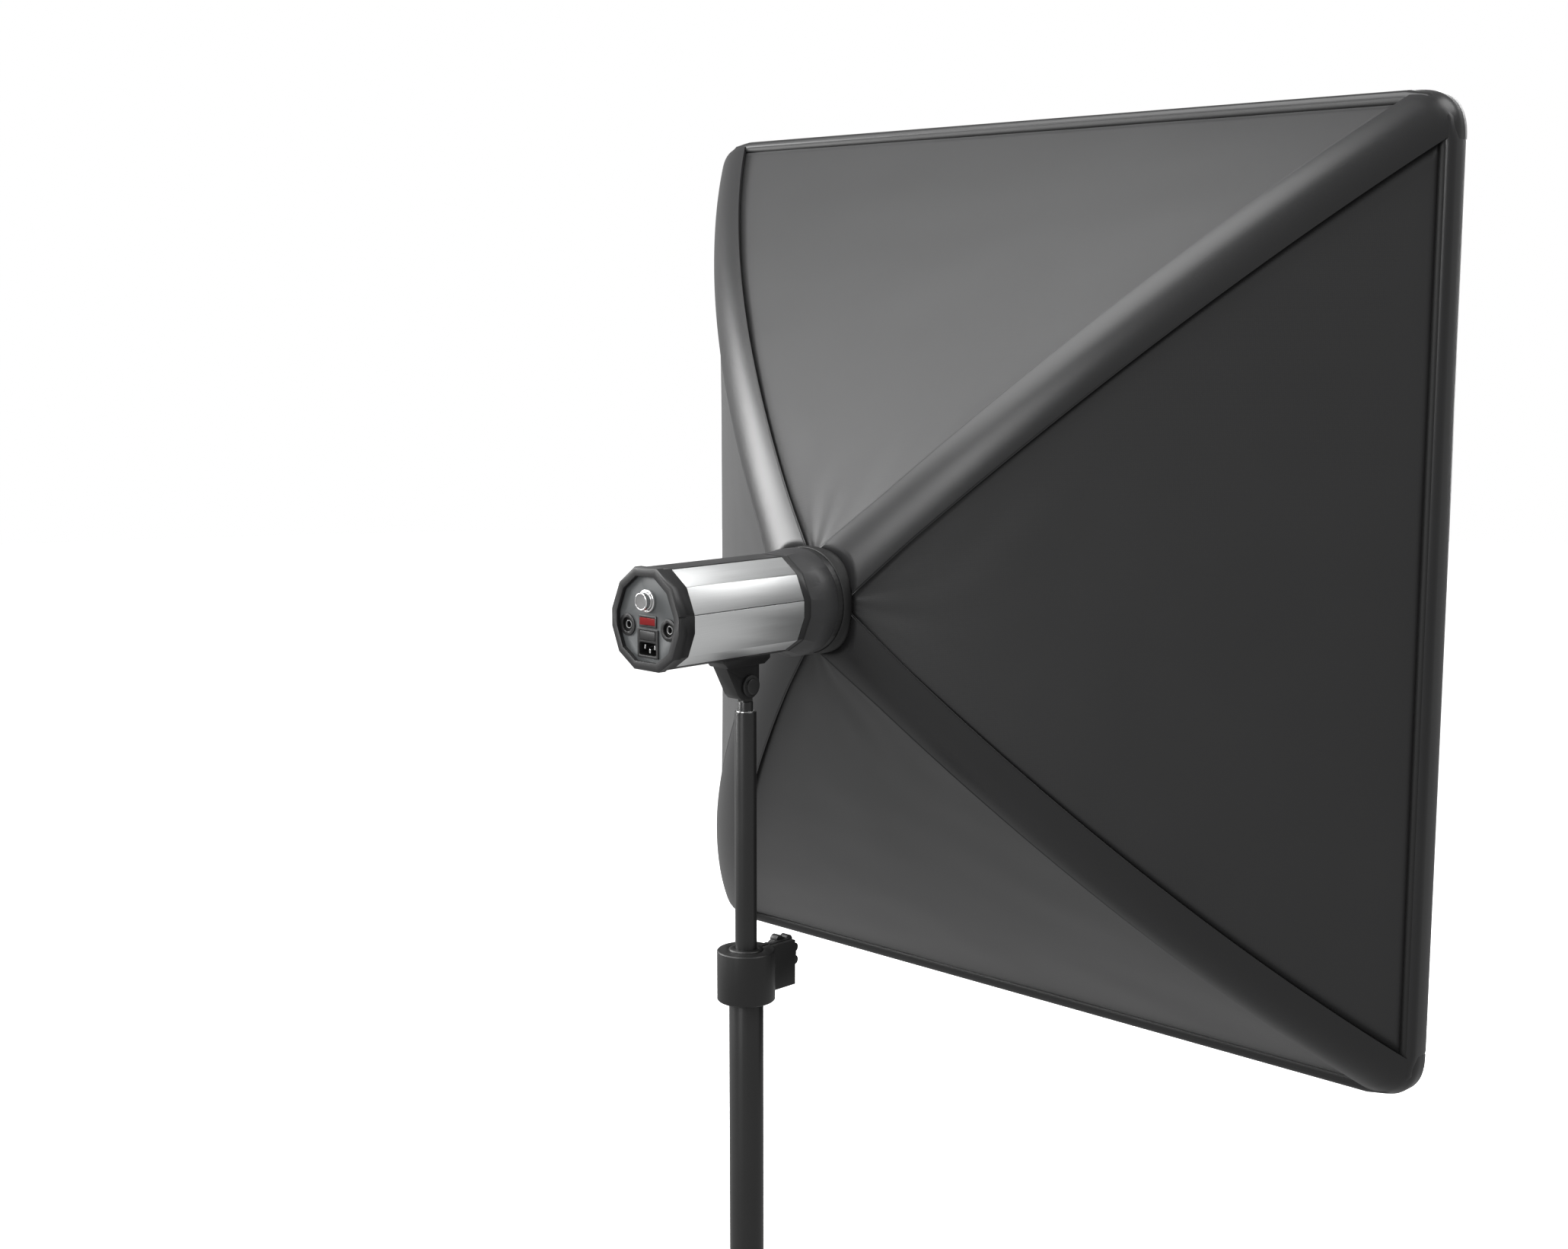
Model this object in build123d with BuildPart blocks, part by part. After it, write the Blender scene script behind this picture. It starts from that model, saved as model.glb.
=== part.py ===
from build123d import *

import os
from math import cos, radians, sin, sqrt

# A studio softbox: a strobe head on a telescoping tripod stand, with a one metre square
# fabric box on four rods. Millimetres. Origin on the column's axis at floor level, +Z up,
# the diffuser faces -Y and the head's control panel faces +Y.

os.makedirs("parts", exist_ok=True)

# ---- driving dimensions -------------------------------------------------------------
HEAD_Z = 1330.0          # the head's axis above the floor
FIT = 0.05               # radial clearance of a running fit
GAP = 0.4                # clearance between pieces that only pass each other

# stand
COLUMN_R, COLUMN_WALL = 17.5, 1.5
COLUMN_BOTTOM = 44.0
MAST_R, MAST_WALL = 11.0, 1.5
MAST_TOP, MAST_BOTTOM = HEAD_Z - 103, 430.0
CLAMP_TOP, CLAMP_H, CLAMP_R = HEAD_Z - 348, 52.0, 29.5
COLUMN_TOP = CLAMP_TOP - 14

# tripod linkage: the strut is as long as the leg's upper part, so the leg turns twice
# as far about the knee as the strut turns about the column
LEG_ANGLES = (90.0, -30.0, -150.0)   # one leg to the rear, two forward
OPEN = 57.0                          # leg's angle from the vertical when open
PIVOT_R, LEG_PIVOT_Z = 44.0, 280.0
LINK, LEG_LENGTH = 200.0, 495.0
STRUT_PIVOT_Z = LEG_PIVOT_Z - 2 * LINK * cos(radians(OPEN))
LEG_HALF, LEG_DEPTH, LEG_WALL = 9.5, 8.0, 1.5
PIN_R = 2.5

# tilt bracket, measured from the head's axis
PIVOT_Y, PIVOT_Z = 3.0, HEAD_Z - 76
EAR_X, SLOT_X, TONGUE_X = 9.5, 3.8, 3.5
TONGUE_R, BOLT_R, STUD_R = 16.0, 4.0, 7.6
NUT_R, NUT_H = 7.5, 4.0

# head: its outline across the axis (half, from the top round to the bottom)
OUTLINE = ((15, 50.5), (36.5, 34.5), (47.5, 9.0), (47.5, -8.0), (38, -31.5), (17, -45.5))
BEZEL_REAR, BEZEL_STEP, BODY_REAR = 132.5, 122.8, 112.0
BODY_FRONT, BAND_FRONT, COLLAR_FRONT = -35.0, -43.6, -77.0
SEAM_Z, SPINE_X, RAIL_X, SHELL = 9.0, 16.0, 21.0, 2.0
(SCORE_X, SCORE_Z), SCORE_R = OUTLINE[1], 0.7
COLLAR_R, RING_R, SPIGOT_R = 54.8, 53.6, 46.0
PANEL_FACE = 128.0

# softbox: the bowed profile of each fabric panel, as distance along -Y and from the axis
HUB, WAIST, RIM = (97.0, 49.0), (244.0, 287.0), (451.0, 497.0)
CLOTH_REAR = 99.5        # where the fabric starts, in front of the speed ring
STRIP = 39.0             # how far each corner strip reaches from the diagonal
CLOTH, RAISE, RIDGE_R = 2.4, 5.0, 16.0
RIM_HALF, RIM_WIDTH, HEM_REAR, HEM_FRONT = 500.0, 26.0, 444.0, 478.0
RIM_CORNER = 46.0
ROD_R = 3.5


def save(piece, name):
    piece.part.label = name
    export_step(piece.part, f"parts/{name}.step")


def across(y, turn=0.0):
    """Plane across the head's axis at y, its own x to +X at no turn and its y up."""
    angle = radians(turn)
    return Plane(origin=(0, y, HEAD_Z), x_dir=(cos(angle), 0, -sin(angle)), z_dir=(0, -1, 0))


def star(radius, lobes):
    """Outline of a moulded hand knob: a disc with a ring of round lobes."""
    Circle(radius * 0.84)
    with PolarLocations(radius * 0.8, lobes):
        Circle(radius * 0.2)


def head_outline(grow=0.0, mode=Mode.ADD):
    """The head's outline, grown or shrunk all round."""
    left = [(-x, z) for x, z in reversed(OUTLINE)]
    flat = Polygon(*OUTLINE, *left, align=None, mode=Mode.PRIVATE)
    if grow:
        flat = offset(flat, amount=grow, kind=Kind.INTERSECTION, mode=Mode.PRIVATE)
    add(flat, mode=mode)


# ---- column and clamp ---------------------------------------------------------------
with BuildPart() as base_tube:
    with BuildSketch(Plane.XY.offset(COLUMN_BOTTOM + 6)):
        Circle(COLUMN_R)
        Circle(COLUMN_R - COLUMN_WALL, mode=Mode.SUBTRACT)
    extrude(amount=COLUMN_TOP - COLUMN_BOTTOM - 6)
save(base_tube, "base_tube")

BUSH_R = COLUMN_R - COLUMN_WALL - FIT
with BuildPart() as clamp_bush:
    with BuildSketch(Plane.XY.offset(COLUMN_TOP - 46)):
        Circle(BUSH_R)
    extrude(amount=46)
    with BuildSketch(Plane.XY.offset(COLUMN_TOP)):
        Circle(COLUMN_R)
    extrude(amount=CLAMP_TOP + 1.8 - COLUMN_TOP)
    chamfer(clamp_bush.edges().sort_by(Axis.Z)[-1], 1.2)
    with BuildSketch(Plane.XY.offset(COLUMN_TOP - 46)):
        Circle(MAST_R + FIT)
    extrude(amount=80, mode=Mode.SUBTRACT)
save(clamp_bush, "clamp_bush")

# the split lug stands to one side, so that the flat knob lies against it
LUG_Y, LUG_LOW_X, LUG_HIGH_X, LUG_SLOT = 61.0, -10.0, 2.0, 2.0
LUG_X = (LUG_LOW_X + LUG_HIGH_X) / 2
KNOB_R, KNOB_X, KNOB_T = 24.5, 2.6, 11.0
clamp_screw = Plane(origin=(0, -54.8, CLAMP_TOP - 21), x_dir=(0, 1, 0), z_dir=(1, 0, 0))
with BuildPart() as clamp_collar:
    with BuildSketch(Plane.XY.offset(CLAMP_TOP - CLAMP_H)):
        Circle(CLAMP_R)
    extrude(amount=CLAMP_H)
    chamfer(clamp_collar.edges().filter_by(GeomType.CIRCLE), 1.0)
    with BuildSketch(Plane.XY.offset(CLAMP_TOP - CLAMP_H + 4)):
        with Locations((LUG_X, -LUG_Y / 2)):
            Rectangle(LUG_HIGH_X - LUG_LOW_X, LUG_Y)
    extrude(amount=CLAMP_H - 5)
    with BuildSketch(Plane.XY.offset(CLAMP_TOP - CLAMP_H)):
        Circle(COLUMN_R + FIT)
        with Locations((LUG_X, -LUG_Y / 2 - 5)):
            Rectangle(LUG_SLOT, LUG_Y)
    extrude(amount=CLAMP_H, mode=Mode.SUBTRACT)
    with BuildSketch(clamp_screw.offset(LUG_LOW_X + 1.5)):
        Circle(BOLT_R + FIT)
    extrude(amount=20, mode=Mode.SUBTRACT)
save(clamp_collar, "clamp_collar")

with BuildPart() as clamp_knob:
    with BuildSketch(clamp_screw.offset(KNOB_X)):
        star(KNOB_R, 9)
    extrude(amount=KNOB_T)
    chamfer(clamp_knob.edges().group_by(Axis.X)[-1], 1.5)
    with BuildSketch(clamp_screw.offset(LUG_LOW_X + 2)):
        Circle(BOLT_R)
    extrude(amount=KNOB_X - LUG_LOW_X)
save(clamp_knob, "clamp_knob")

# ---- tripod -------------------------------------------------------------------------
LEG_COLLAR_R, STRUT_COLLAR_R = 28.0, 25.0
LOCK_ANGLE = 30.0        # the lock knob stands between two legs

with BuildPart() as strut_collar:
    with BuildSketch(Plane.XY.offset(COLUMN_BOTTOM)):
        Circle(STRUT_COLLAR_R)
    extrude(amount=38)
    with BuildSketch(Plane.XY.offset(STRUT_PIVOT_Z - 8)):
        with PolarLocations(0, 3, start_angle=LEG_ANGLES[0]):
            with Locations((30, 4.9), (30, -4.9)):
                Rectangle(2 * (PIVOT_R + 6 - 30), 3.2)
    extrude(amount=16)
    fillet(strut_collar.edges().filter_by(GeomType.CIRCLE).sort_by(Axis.Z)[-1], 2)
    with BuildSketch(Plane.XY.offset(COLUMN_BOTTOM + 6)):
        Circle(COLUMN_R + FIT)
    extrude(amount=40, mode=Mode.SUBTRACT)
    for angle in LEG_ANGLES:
        turn = radians(angle)
        centre = (PIVOT_R * cos(turn), PIVOT_R * sin(turn), STRUT_PIVOT_Z)
        with BuildSketch(Plane(origin=centre, x_dir=(0, 0, 1), z_dir=(-sin(turn), cos(turn), 0))):
            Circle(PIN_R + FIT)
        extrude(amount=8, both=True, mode=Mode.SUBTRACT)
save(strut_collar, "strut_collar")

with BuildPart() as strut_pins:
    for angle in LEG_ANGLES:
        turn = radians(angle)
        centre = (PIVOT_R * cos(turn), PIVOT_R * sin(turn), STRUT_PIVOT_Z)
        pin_plane = Plane(origin=centre, x_dir=(0, 0, 1), z_dir=(-sin(turn), cos(turn), 0))
        with BuildSketch(pin_plane):
            Circle(PIN_R)
        extrude(amount=6.9, both=True)
save(strut_pins, "strut_pins")

with BuildPart() as leg_collar:
    with BuildSketch(Plane.XY.offset(LEG_PIVOT_Z - 22)):
        Circle(LEG_COLLAR_R)
    extrude(amount=48)
    chamfer(leg_collar.edges().filter_by(GeomType.CIRCLE), 1.5)
    for angle in LEG_ANGLES:
        turn = radians(angle)
        tab = Plane(
            origin=(0, 0, LEG_PIVOT_Z),
            x_dir=(cos(turn), sin(turn), 0),
            z_dir=(sin(turn), -cos(turn), 0),
        )
        with BuildSketch(tab):
            with Locations(((22 + PIVOT_R) / 2, 0)):
                Rectangle(PIVOT_R - 22, 12)
            with Locations((PIVOT_R, 0)):
                Circle(6)
        extrude(amount=3, both=True)
        with BuildSketch(tab):
            with Locations((PIVOT_R, 0)):
                Circle(PIN_R)
        extrude(amount=7.2, both=True)
    with BuildSketch(Plane.XY.offset(LEG_PIVOT_Z - 22)):
        Circle(COLUMN_R + FIT)
    extrude(amount=48, mode=Mode.SUBTRACT)
    lock_turn = radians(LOCK_ANGLE)
    lock_axis = (cos(lock_turn), sin(lock_turn), 0)
    lock_plane = Plane(origin=(0, 0, LEG_PIVOT_Z + 10), x_dir=(0, 0, 1), z_dir=lock_axis)
    with BuildSketch(lock_plane):
        Circle(BOLT_R + FIT)
    extrude(amount=LEG_COLLAR_R + 4, mode=Mode.SUBTRACT)
save(leg_collar, "leg_collar")

with BuildPart() as leg_lock_knob:
    with BuildSketch(lock_plane.offset(LEG_COLLAR_R + 6)):
        star(17, 5)
    extrude(amount=15)
    with BuildSketch(lock_plane.offset(COLUMN_R + 1.5)):
        Circle(BOLT_R)
    extrude(amount=LEG_COLLAR_R - COLUMN_R + 6)
save(leg_lock_knob, "leg_lock_knob")


def leg_section(grow):
    """The leg's outer rectangle on its own plane, whose y points outward and up."""
    with Locations((0, LEG_WALL / 2)):
        Rectangle(2 * (LEG_HALF + grow), 2 * LEG_DEPTH + LEG_WALL + 2 * grow)


for number, angle in enumerate(LEG_ANGLES, 1):
    turn, slope = radians(angle), radians(OPEN)
    out = Vector(cos(turn), sin(turn), 0)
    side = Vector(-sin(turn), cos(turn), 0)
    along = out * sin(slope) - Vector(0, 0, cos(slope))
    up_strut = out * sin(slope) + Vector(0, 0, cos(slope))
    top = out * PIVOT_R + Vector(0, 0, LEG_PIVOT_Z)
    low = out * PIVOT_R + Vector(0, 0, STRUT_PIVOT_Z)
    knee = top + along * LINK

    # an open channel whose open side faces the column, so the strut folds inside it
    with BuildPart() as leg:
        with BuildSketch(Plane(origin=top - along * 7, x_dir=side, z_dir=along)):
            leg_section(0)
            with Locations((0, -LEG_WALL)):
                Rectangle(2 * (LEG_HALF - LEG_WALL), 2 * LEG_DEPTH + LEG_WALL, mode=Mode.SUBTRACT)
        extrude(amount=LEG_LENGTH + 7)
        with BuildSketch(Plane(origin=knee, x_dir=along, z_dir=side)):
            Circle(PIN_R + FIT)
        extrude(amount=LEG_HALF, both=True, mode=Mode.SUBTRACT)
        with BuildSketch(Plane(origin=top, x_dir=along, z_dir=side)):
            Circle(PIN_R + 0.5)
        extrude(amount=LEG_HALF, both=True, mode=Mode.SUBTRACT)
    save(leg, f"leg_{number}")

    with BuildPart() as strut:
        with BuildSketch(Plane(origin=low, x_dir=up_strut, z_dir=side)):
            with Locations((LINK / 2, 0)):
                SlotOverall(LINK + 12, 12)
            with Locations((0, 0), (LINK, 0)):
                Circle(PIN_R + FIT, mode=Mode.SUBTRACT)
        extrude(amount=2.5, both=True)
    save(strut, f"strut_{number}")

    with BuildPart() as knee_pin:
        with BuildSketch(Plane(origin=knee, x_dir=along, z_dir=side)):
            Circle(PIN_R)
        extrude(amount=LEG_HALF + 1.2, both=True)
        for end in (1, -1):
            with BuildSketch(Plane(origin=knee + side * (LEG_HALF + 0.05) * end, x_dir=along,
                                   z_dir=side * end)):
                Circle(4.5)
            extrude(amount=1.3)
    save(knee_pin, f"knee_pin_{number}")

    with BuildPart() as foot:
        with BuildSketch(Plane(origin=top + along * (LEG_LENGTH - 32), x_dir=side, z_dir=along)):
            leg_section(2.6)
        extrude(amount=52)
        fillet(foot.edges().filter_by(Axis(top, along)), 2.4)
        with BuildSketch(Plane(origin=top + along * (LEG_LENGTH - 33), x_dir=side, z_dir=along)):
            leg_section(FIT)
        extrude(amount=33.1, mode=Mode.SUBTRACT)
        with BuildSketch(Plane.XY):
            Circle(700)
        extrude(amount=200, mode=Mode.INTERSECT)
    save(foot, f"foot_{number}")

# ---- mast and swivel ----------------------------------------------------------------
SOCKET_R = MAST_R - MAST_WALL
with BuildPart() as top_tube:
    with BuildSketch(Plane.XY.offset(MAST_BOTTOM)):
        Circle(MAST_R)
        Circle(SOCKET_R, mode=Mode.SUBTRACT)
    extrude(amount=MAST_TOP - MAST_BOTTOM)
    chamfer(top_tube.edges().group_by(Axis.Z)[-1], 0.6)
save(top_tube, "top_tube")

with BuildPart() as tube_slider:
    with BuildSketch(Plane.XY.offset(MAST_BOTTOM - 6)):
        Circle(COLUMN_R - COLUMN_WALL - FIT)
    extrude(amount=30)
    with BuildSketch(Plane.XY.offset(MAST_BOTTOM)):
        Circle(MAST_R + FIT)
    extrude(amount=30, mode=Mode.SUBTRACT)
save(tube_slider, "tube_slider")

STUD_BOTTOM = MAST_TOP - 36
with BuildPart() as tube_socket:
    with BuildSketch(Plane.XY.offset(STUD_BOTTOM - 6)):
        Circle(SOCKET_R - FIT)
    extrude(amount=MAST_TOP - STUD_BOTTOM + 6.8)
    with BuildSketch(Plane.XY.offset(STUD_BOTTOM - 0.5)):
        Circle(STUD_R + FIT)
    extrude(amount=60, mode=Mode.SUBTRACT)
save(tube_socket, "tube_socket")

SHOULDER_Z = HEAD_Z - 93
tilt_axis = Plane(origin=(0, PIVOT_Y, PIVOT_Z), x_dir=(0, 1, 0), z_dir=(1, 0, 0))
with BuildPart() as swivel_stud:
    with BuildSketch(Plane.XY.offset(STUD_BOTTOM)):
        Circle(STUD_R)
    extrude(amount=SHOULDER_Z - STUD_BOTTOM)
    chamfer(swivel_stud.edges().group_by(Axis.Z)[0], 1)
    with BuildSketch(tilt_axis):
        Circle(TONGUE_R - 2)
        with Locations((-PIVOT_Y, (SHOULDER_Z - PIVOT_Z) / 2)):
            Rectangle(2 * (STUD_R - 1), PIVOT_Z - SHOULDER_Z + 0.2)
    extrude(amount=TONGUE_X, both=True)
    with BuildSketch(tilt_axis):
        Circle(BOLT_R + FIT)
    extrude(amount=TONGUE_X + 5, both=True, mode=Mode.SUBTRACT)
save(swivel_stud, "swivel_stud")

# ---- tilt bracket -------------------------------------------------------------------
side_view = Plane(origin=(0, 0, HEAD_Z), x_dir=(0, 1, 0), z_dir=(1, 0, 0))
DROP = PIVOT_Z - HEAD_Z
EAR_R = 13.0
with BuildPart() as tilt_bracket:
    with BuildSketch(side_view):
        with BuildLine():
            front = Line((PIVOT_Y - EAR_R, -54.5), (PIVOT_Y - EAR_R, DROP))
            RadiusArc(front @ 1, (PIVOT_Y, DROP - EAR_R), -EAR_R)
            Polyline((PIVOT_Y, DROP - EAR_R), (15, -88.5), (19.5, -84), (35.5, -54.5), front @ 0)
        make_face()
    extrude(amount=EAR_X, both=True)
    with BuildSketch(side_view):
        with BuildLine():
            Polyline((41, -46), (-23, -46), (-23, -49.5), (-14, -55), (36, -55), (41, -49.5),
                     close=True)
        make_face()
    extrude(amount=13, both=True)
    fillet(tilt_bracket.edges().filter_by(Axis.Z).group_by(Axis.Z)[-1], 2)
    # the slot for the swivel's tongue is open to the front and below, closed behind
    with BuildSketch(side_view):
        with Locations((PIVOT_Y, DROP)):
            Circle(TONGUE_R + 0.4)
        with BuildLine():
            Polyline((PIVOT_Y - 30, DROP), (PIVOT_Y + 9, DROP), (15.2, DROP - 18), (-27, DROP - 18),
                     close=True)
        make_face()
    extrude(amount=SLOT_X, both=True, mode=Mode.SUBTRACT)
    with BuildSketch(tilt_axis):
        Circle(BOLT_R + FIT)
    extrude(amount=20, both=True, mode=Mode.SUBTRACT)
save(tilt_bracket, "tilt_bracket")

with BuildPart() as tilt_bolt:
    with BuildSketch(tilt_axis.offset(-EAR_X - 5.6)):
        Circle(8)
    extrude(amount=3)
    fillet(tilt_bolt.edges().sort_by(Axis.X)[0], 1)
    with BuildSketch(tilt_axis.offset(-EAR_X - 2.7)):
        Circle(11)
    extrude(amount=2.6)
    with BuildSketch(tilt_axis.offset(-EAR_X - 0.5)):
        Circle(BOLT_R)
    extrude(amount=2 * EAR_X + NUT_H + 1.5)
save(tilt_bolt, "tilt_bolt")

with BuildPart() as tilt_nut:
    with BuildSketch(tilt_axis.offset(EAR_X + 0.1)):
        RegularPolygon(NUT_R, 6)
        Circle(BOLT_R + FIT, mode=Mode.SUBTRACT)
    extrude(amount=NUT_H)
save(tilt_nut, "tilt_nut")

# ---- head shell ---------------------------------------------------------------------
with BuildPart() as rear_bezel:
    with BuildSketch(across(BODY_REAR + 20.5)):
        head_outline(1.2)
    extrude(amount=BEZEL_REAR - BEZEL_STEP)
    with BuildSketch(across(BEZEL_STEP)):
        head_outline()
    extrude(amount=BEZEL_STEP - BODY_REAR - 0.2)
    chamfer(rear_bezel.faces().sort_by(Axis.Y)[-1].edges(), 1.6)
    with BuildSketch(across(PANEL_FACE + 0.2)):
        head_outline(-3.6)
    extrude(amount=20, mode=Mode.SUBTRACT)
    with BuildSketch(across(BEZEL_REAR + 1)):
        head_outline(-7.2)
    extrude(amount=10, mode=Mode.SUBTRACT)
    for end in (1, -1):
        with BuildSketch(across(BEZEL_REAR + 1)):
            with Locations((end * 49, SEAM_Z)):
                Rectangle(4, 1.6)
        extrude(amount=30, mode=Mode.SUBTRACT)
save(rear_bezel, "rear_bezel")


def shell_piece(low_x, high_x, low_z, high_z):
    """The part of the head's shell between two widths and two heights."""
    head_outline()
    head_outline(-SHELL, mode=Mode.SUBTRACT)
    with Locations(((low_x + high_x) / 2, (low_z + high_z) / 2)):
        Rectangle(high_x - low_x, high_z - low_z, mode=Mode.INTERSECT)


BODY_LENGTH = BODY_REAR - BODY_FRONT
SHELL_PIECES = {
    "panel_upper_left": (SPINE_X + 0.2, 60, SEAM_Z + 0.4, 60),
    "panel_upper_right": (-60, -SPINE_X - 0.2, SEAM_Z + 0.4, 60),
    "panel_lower_left": (RAIL_X + 0.2, 60, -60, SEAM_Z - 0.4),
    "panel_lower_right": (-60, -RAIL_X - 0.2, -60, SEAM_Z - 0.4),
    "top_spine": (-SPINE_X, SPINE_X, 20, 60),
    "bottom_rail": (-RAIL_X, RAIL_X, -60, -20),
}
for name, limits in SHELL_PIECES.items():
    with BuildPart() as shell_part:
        with BuildSketch(across(BODY_REAR)):
            shell_piece(*limits)
        extrude(amount=BODY_LENGTH)
        if name.startswith("panel_upper"):
            # a fine score line runs along the shoulder, where the panel bends
            with BuildSketch(across(BODY_REAR + 1)):
                with Locations((-SCORE_X, SCORE_Z), (SCORE_X, SCORE_Z)):
                    Circle(SCORE_R)
            extrude(amount=BODY_LENGTH + 2, mode=Mode.SUBTRACT)
    save(shell_part, name)

with BuildPart() as front_collar:
    with BuildSketch(across(BODY_FRONT - 0.2)):
        head_outline(-0.3)
    extrude(amount=BODY_FRONT - BAND_FRONT + 1)
    with BuildSketch(across(BAND_FRONT)):
        head_outline()
    with BuildSketch(across(BAND_FRONT - 16)):
        Circle(COLLAR_R)
    loft()
    with BuildSketch(across(BAND_FRONT - 16)):
        Circle(COLLAR_R)
    extrude(amount=BAND_FRONT - 16 - COLLAR_FRONT)
    fillet(front_collar.edges().sort_by(Axis.Y)[0], 1.5)
    with BuildSketch(across(BODY_FRONT)):
        Circle(38)
    extrude(amount=30, mode=Mode.SUBTRACT)
    with BuildSketch(across(BAND_FRONT - 14)):
        Circle(SPIGOT_R + FIT)
    extrude(amount=30, mode=Mode.SUBTRACT)
save(front_collar, "front_collar")

# ---- rear panel and what it carries -------------------------------------------------
KNOB_Z, ROCKER_Z = 20.0, 0.3
ROCKER_HALF, ROCKER_H = 10.2, 7.6
ROCKER_TILT, ROCKER_AXIS_Y, ROCKER_STUD_R = 8.0, PANEL_FACE - 3, 1.5
INLET_X, INLET_TOP, INLET_BOTTOM = 14.5, -6.8, -34.6
SOCKET_X, SOCKET_Z = 29.0, -5.3
JACK_R = 3.2
INLET_Z = (INLET_TOP + INLET_BOTTOM) / 2
INLET_H = INLET_TOP - INLET_BOTTOM
with BuildPart() as rear_panel:
    with BuildSketch(across(PANEL_FACE)):
        head_outline(-4)
        with Locations((0, KNOB_Z)):
            Circle(3.6, mode=Mode.SUBTRACT)
        with Locations((0, ROCKER_Z)):
            Rectangle(2 * ROCKER_HALF + 2.4, ROCKER_H + 2.4, mode=Mode.SUBTRACT)
        with Locations((0, INLET_Z)):
            Rectangle(2 * INLET_X - 2, INLET_H - 2, mode=Mode.SUBTRACT)
        with Locations((SOCKET_X, SOCKET_Z), (-SOCKET_X, SOCKET_Z)):
            Circle(8.4, mode=Mode.SUBTRACT)
    extrude(amount=3)
save(rear_panel, "rear_panel")

with BuildPart() as sync_sockets:
    for end in (1, -1):
        with BuildSketch(across(PANEL_FACE + 1.3)):
            with Locations((end * SOCKET_X, SOCKET_Z)):
                Circle(10.6)
        extrude(amount=1.2)
        with BuildSketch(across(PANEL_FACE + 0.2)):
            with Locations((end * SOCKET_X, SOCKET_Z)):
                Circle(8.2)
        extrude(amount=18)
        with BuildSketch(across(PANEL_FACE + 2)):
            with Locations((end * SOCKET_X, SOCKET_Z)):
                Circle(6.8)
        extrude(amount=4.4, mode=Mode.SUBTRACT)
        with BuildSketch(across(PANEL_FACE)):
            with Locations((end * SOCKET_X, SOCKET_Z)):
                Circle(JACK_R)
        extrude(amount=15, mode=Mode.SUBTRACT)
save(sync_sockets, "sync_sockets")

DRAWER_Z, DRAWER_H, DRAWER_X = -13.3, 9.4, 11.0
PORT_Z, PORT_H, PORT_X = -26.2, 12.4, 12.0
with BuildPart() as power_inlet:
    with BuildSketch(across(PANEL_FACE + 1.3)):
        with Locations((0, INLET_Z)):
            RectangleRounded(2 * INLET_X, INLET_H, 1)
    extrude(amount=1.2)
    with BuildSketch(across(PANEL_FACE + 0.2)):
        with Locations((0, INLET_Z)):
            Rectangle(2 * INLET_X - 2.6, INLET_H - 2.6)
    extrude(amount=25)
    with BuildSketch(across(PANEL_FACE + 2)):
        with Locations((0, DRAWER_Z)):
            Rectangle(2 * DRAWER_X, DRAWER_H)
    extrude(amount=24, mode=Mode.SUBTRACT)
    with BuildSketch(across(PANEL_FACE + 2)):
        with Locations((0, PORT_Z)):
            RectangleRounded(2 * PORT_X, PORT_H, 2.4)
    extrude(amount=20, mode=Mode.SUBTRACT)
save(power_inlet, "power_inlet")

with BuildPart() as inlet_pins:
    with BuildSketch(across(PANEL_FACE - 1.5)):
        with Locations((7, PORT_Z + 1.6), (-7, PORT_Z + 1.6), (0, PORT_Z - 2.2)):
            Rectangle(2, 4)
    extrude(amount=16.4)
save(inlet_pins, "inlet_pins")

with BuildPart() as fuse_drawer:
    with BuildSketch(across(PANEL_FACE + 1.6)):
        with Locations((0, DRAWER_Z)):
            Rectangle(2 * (DRAWER_X - GAP), DRAWER_H - 2 * GAP)
    extrude(amount=22)
    with BuildSketch(Plane(origin=(0, 0, HEAD_Z + DRAWER_Z), x_dir=(1, 0, 0), z_dir=(0, 0, 1))):
        with Locations((0, PANEL_FACE - 10)):
            Rectangle(12, 14)
    extrude(amount=10, mode=Mode.SUBTRACT)
save(fuse_drawer, "fuse_drawer")

with BuildPart() as rocker_frame:
    with BuildSketch(across(PANEL_FACE + 1.1)):
        with Locations((0, ROCKER_Z)):
            RectangleRounded(2 * ROCKER_HALF + 4, ROCKER_H + 4, 1)
    extrude(amount=1)
    with BuildSketch(across(PANEL_FACE + 0.2)):
        with Locations((0, ROCKER_Z)):
            Rectangle(2 * ROCKER_HALF + 2, ROCKER_H + 2)
    extrude(amount=14)
    with BuildSketch(across(PANEL_FACE + 2)):
        with Locations((0, ROCKER_Z)):
            Rectangle(2 * ROCKER_HALF, ROCKER_H)
    extrude(amount=13, mode=Mode.SUBTRACT)
    with Locations((0, ROCKER_AXIS_Y, HEAD_Z + ROCKER_Z)):
        Cylinder(ROCKER_STUD_R + GAP, ROCKER_H + 4, mode=Mode.SUBTRACT)
save(rocker_frame, "rocker_frame")

# the rocker is a shallow V seen from above, at rest with one side pressed in;
# it turns on two round studs that stand in the frame's walls
lean = radians(ROCKER_TILT)
rocker_plane = Plane(
    origin=(0, ROCKER_AXIS_Y, HEAD_Z + ROCKER_Z), x_dir=(cos(lean), sin(lean), 0), z_dir=(0, 0, 1)
)
with BuildPart() as power_rocker:
    with BuildSketch(rocker_plane):
        with BuildLine():
            Polyline((-9.4, 3.0), (-9.4, 5.2), (0, 4.2), (9.4, 5.2), (9.4, 3.0), (3, -4), (-3, -4),
                     close=True)
        make_face()
    extrude(amount=ROCKER_H / 2 - GAP, both=True)
    with Locations((0, ROCKER_AXIS_Y, HEAD_Z + ROCKER_Z)):
        Cylinder(ROCKER_STUD_R, ROCKER_H + 1.6)
save(power_rocker, "power_rocker")

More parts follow.
